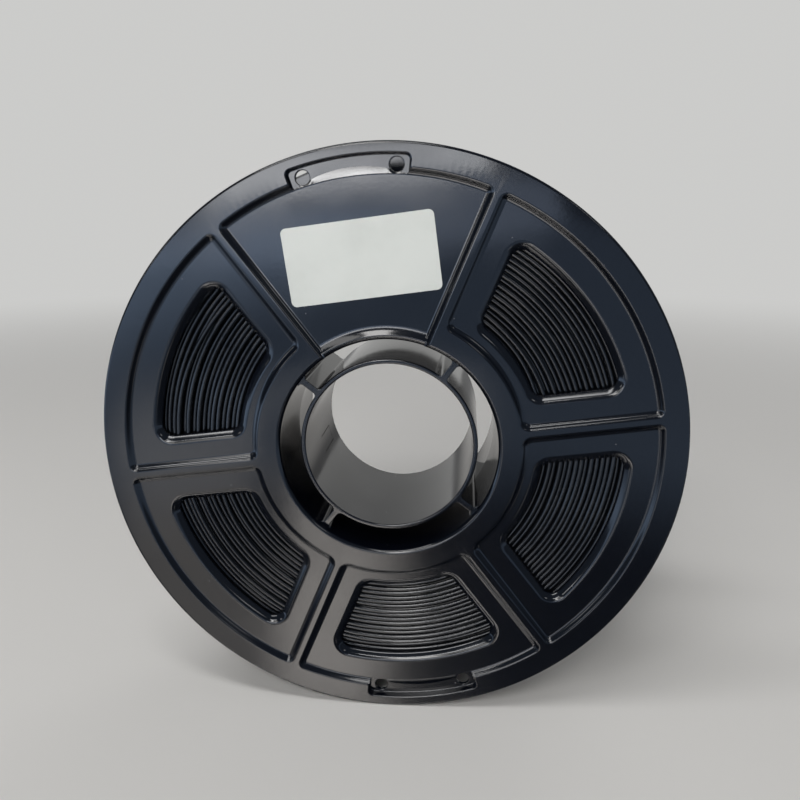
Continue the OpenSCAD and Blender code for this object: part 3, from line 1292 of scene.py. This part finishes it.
    def tube(self, name: str, strands: Sequence[Sequence[Vector]], placement: Matrix) -> bpy.types.Object:
        """Sweeps the filament along its strands.

        Args:
            name: Name of the piece.
            strands: The points of each strand.
            placement: The matrix that lays them into the part's frame.

        Returns:
            The piece.
        """
        curve = bpy.data.curves.new(name, "CURVE")
        curve.dimensions = "3D"
        curve.bevel_depth = self.filament_d / 2
        curve.bevel_resolution = 2
        curve.use_fill_caps = True
        for points in strands:
            spline = curve.splines.new("POLY")
            spline.points.add(len(points) - 1)
            for target, point in zip(spline.points, points):
                target.co = (*point, 1.0)
        holder = link(f"{name}_path", curve)
        mesh = evaluated_mesh(holder)
        bpy.data.objects.remove(holder)
        bpy.data.curves.remove(curve)
        smooth_into_place(mesh, placement, TUBE_MERGE, TUBE_SHARP)
        return link(name, mesh)


@dataclass
class Label:
    """The label on the front flange, left blank."""

    corner: float = 1.8
    edge: float = 0.04

    def build(self) -> None:
        """Builds the label on its panel."""
        low, high = (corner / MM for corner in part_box("label"))
        corners = [(low.x, low.z, self.corner), (high.x, low.z, self.corner),
                   (high.x, high.z, self.corner), (low.x, high.z, self.corner)]
        levels = [(0, -high.y), (0, -low.y - self.edge), (-self.edge, -low.y)]
        label = walled("label_sheet", outline_of(filleted(corners)), levels)
        piece = lay(label, Side.FRONT.placement())
        hand_over(piece, LabelFilm(), "label")


# ---------------------------------------------------------------- stage


@dataclass(frozen=True)
class SoftLight:
    """A rectangular studio light that looks at the origin, as its place, its size and how bright it is."""

    name: str
    place: Corner
    width: float
    height: float
    radiance: float
    colour: Colour = WHITE

    def build(self) -> None:
        """Hangs the light."""
        lamp = bpy.data.lights.new(self.name, "AREA")
        lamp.shape = "RECTANGLE"
        lamp.size = self.width
        lamp.size_y = self.height
        lamp.energy = self.radiance * math.pi * self.width * self.height
        lamp.color = self.colour
        holder = link(self.name, lamp)
        holder.location = self.place
        holder.rotation_mode = "QUATERNION"
        holder.rotation_quaternion = (-Vector(self.place)).to_track_quat("-Z", "Y")


@dataclass
class Studio:
    """A pale floor that runs out into a pale backdrop, soft lights and the camera."""

    up: Corner = (0.132, 0.0, 0.991)
    backdrop: Colour = (0.60, 0.60, 0.59)
    room: Colour = (0.12, 0.15, 0.19)
    floor_colour: Colour = (0.70, 0.69, 0.67)
    floor_roughness: float = 0.75
    floor_sheen: Colour = (0.40, 0.385, 0.37)
    floor_gloss: float = 0.17
    sheen_start: float = 0.35
    sheen_end: float = 0.78
    # Painted reflection: a glow on the floor that only reflections see. It is bluish in front, grey behind
    # the spool and stronger to the left, and it grows in between these distances.
    painted_glow_colour: Colour = (0.37, 0.49, 0.68)
    painted_glow_back_colour: Colour = (0.20, 0.20, 0.20)
    back_start: float = -0.15
    back_end: float = 0.05
    painted_glow_start: float = 0.20
    painted_glow_end: float = 0.40
    left_near: float = -0.2
    left_far: float = -0.7
    painted_glow_left_gain: float = 3.2
    fill: float = 0.13
    wall_y: float = 1.9
    wall_size: float = 5.0
    floor_size: float = 12.0
    fade_start: float = 0.4
    fade_end: float = 1.5
    lens: float = 34.05
    camera_place: Corner = (0.034827, -0.274293, 0.075571)
    camera_right: Corner = (0.98778, 0.08306, -0.13185)
    camera_up: Corner = (0.10803, 0.24476, 0.96355)
    lights: tuple[SoftLight, ...] = (
        SoftLight("window_high", (-0.26, -2.16, 1.15), 0.40, 0.84, 11.5, (1.0, 0.98, 0.96)),
        SoftLight("window_top", (-0.345, -1.77, 1.69), 1.40, 0.13, 25.0),
        SoftLight("window_low", (-0.34, -2.3, 0.265), 0.96, 0.19, 8.0, (0.98, 1.0, 1.04)),
        SoftLight("sky_glow", (-0.6, -2.3, 0.07), 2.0, 0.18, 1.4, (0.75, 0.9, 1.2)),
        SoftLight("curtain", (-0.78, -2.05, 0.88), 0.44, 1.05, 3.2, (1.0, 0.98, 0.95)),
        SoftLight("right_glint", (1.42, -1.85, 0.95), 0.25, 0.40, 5.0),
        SoftLight("left_glint", (-1.65, -1.45, 0.85), 0.25, 0.40, 6.0),
        SoftLight("overhead", (-0.2, -0.53, 1.5), 1.25, 0.24, 10.0),
        SoftLight("back_wall", (0.7, 1.8, 0.9), 1.2, 0.9, 2.0),
    )

    def build(self, radius: float) -> None:
        """Sets the stage.

        Args:
            radius: Radius of the rim that stands on the floor, in metres.
        """
        scene = bpy.context.scene
        scene.view_settings.view_transform = "Standard"
        self._camera(scene)
        self._world(scene)
        self._floor(radius)
        self._wall()
        for light in self.lights:
            light.build()

    def _camera(self, scene: bpy.types.Scene) -> None:
        """Places the camera.

        Args:
            scene: The scene that it looks at.
        """
        lens = bpy.data.cameras.new("camera")
        lens.lens = self.lens
        lens.sensor_width = 36.0
        camera = link("camera", lens)
        right, up = Vector(self.camera_right).normalized(), Vector(self.camera_up).normalized()
        back = right.cross(up)
        turn = Matrix((right, up, back)).transposed()
        camera.matrix_world = Matrix.Translation(self.camera_place) @ turn.to_4x4()
        scene.camera = camera

    def _world(self, scene: bpy.types.Scene) -> None:
        """Gives the world a soft fill, the backdrop's colour where it is seen, and a dim room for gloss.

        Args:
            scene: The scene that it lights.
        """
        world = bpy.data.worlds.new("studio")
        scene.world = world
        graph = blank(world)
        ray = graph.add("LightPath").outputs
        fill = graph.glow("Background", rgba(WHITE), self.fill)
        room = graph.glow("Background", rgba(self.room))
        seen = graph.glow("Background", rgba(self.backdrop))
        straight = graph.math("MAXIMUM", ray["Is Camera Ray"], ray["Is Transmission Ray"])
        lit = graph.blend(ray["Is Glossy Ray"], fill, room)
        graph.add("OutputWorld", {"Surface": graph.blend(straight, lit, seen)})

    def _wall(self) -> None:
        """Stands a pale wall far behind the spool, as bright as the world's fill on what it lights."""
        shape = bmesh.new()
        bmesh.ops.create_grid(shape, size=self.wall_size)
        place = Matrix.Translation((0.0, self.wall_y, 0.0)) @ Matrix.Rotation(math.pi / 2, 4, "X")
        bmesh.ops.transform(shape, matrix=place, verts=shape.verts)
        graph = self._stage("wall", shape)
        ray = graph.add("LightPath").outputs
        seen = graph.math("MAXIMUM", graph.math("MAXIMUM", ray["Is Camera Ray"], ray["Is Glossy Ray"]),
                          ray["Is Transmission Ray"])
        fill = graph.glow("Emission", rgba(WHITE), self.fill)
        pale = graph.glow("Emission", rgba(self.backdrop))
        graph.add("OutputMaterial", {"Surface": graph.blend(seen, fill, pale)})

    def _floor(self, radius: float) -> None:
        """Lays the floor under the rim, fading into the backdrop far out; reflections see its glossy sheen
        and a painted glow.

        Args:
            radius: Radius of the rim, in metres.
        """
        up = Vector(self.up).normalized()
        shape = bmesh.new()
        bmesh.ops.create_circle(shape, cap_ends=True, segments=96, radius=self.floor_size)
        turn = up.to_track_quat("Z", "Y").to_matrix().to_4x4()
        bmesh.ops.transform(shape, matrix=Matrix.Translation(up * -radius) @ turn, verts=shape.verts)
        graph = self._stage("floor", shape)
        place = graph.add("TexCoord").outputs["Object"]
        far = graph.add("VectorMath", {0: place}, operation="LENGTH").outputs["Value"]
        fade = graph.ramp(far, self.fade_start, self.fade_end)
        matt = graph.add("BsdfPrincipled", {"Base Color": rgba(self.floor_colour),
                                            "Roughness": self.floor_roughness})
        seen = graph.blend(fade, matt.outputs[0], graph.glow("Emission", rgba(self.backdrop)))
        dim = graph.ramp(far, self.sheen_start, self.sheen_end)
        tint = graph.mix(dim, rgba(self.floor_sheen), rgba((0.0, 0.0, 0.0)))
        sheen = graph.add("BsdfGlossy", {"Color": tint, "Roughness": self.floor_gloss})
        # Painted reflection: an emission that only glossy rays see, growing in with distance, greyer behind
        # the spool and brighter to the left.
        painted_glow_share = graph.ramp(far, self.painted_glow_start, self.painted_glow_end)
        spot = graph.add("SeparateXYZ", {0: place}).outputs
        behind = graph.ramp(spot["Y"], self.back_start, self.back_end)
        leftward = graph.ramp(spot["X"], self.left_far, self.left_near, self.painted_glow_left_gain, 1.0)
        painted_glow_tint = graph.mix(behind, rgba(self.painted_glow_colour), rgba(self.painted_glow_back_colour))
        painted_glow = graph.glow("Emission", painted_glow_tint, graph.math("MULTIPLY", painted_glow_share, leftward))
        mirrored = graph.add("AddShader", {0: sheen.outputs[0], 1: painted_glow})
        gloss = graph.add("LightPath").outputs["Is Glossy Ray"]
        graph.add("OutputMaterial", {"Surface": graph.blend(gloss, seen, mirrored.outputs[0])})

    def _stage(self, name: str, shape: bmesh.types.BMesh) -> Graph:
        """Makes a mesh a piece of the stage.

        Args:
            name: Name of the piece.
            shape: Its mesh, in place.

        Returns:
            The empty graph of its material.
        """
        holder = link(name, mesh_of(name, shape))
        holder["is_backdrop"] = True
        material = bpy.data.materials.new(name)
        holder.data.materials.append(material)
        return blank(material)


def main() -> None:
    """Builds the spool round its frame."""
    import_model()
    cad_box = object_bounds()
    Studio().build(radius=cad_box[1].x)
    front, rear = (SpoolHalf(side) for side in Side)
    front.build()
    rear.build()
    WoundFilament(front).build()
    Label().build()


if __name__ == "__main__":
    logging.basicConfig(level=logging.INFO, format="%(name)s %(message)s")
    main()
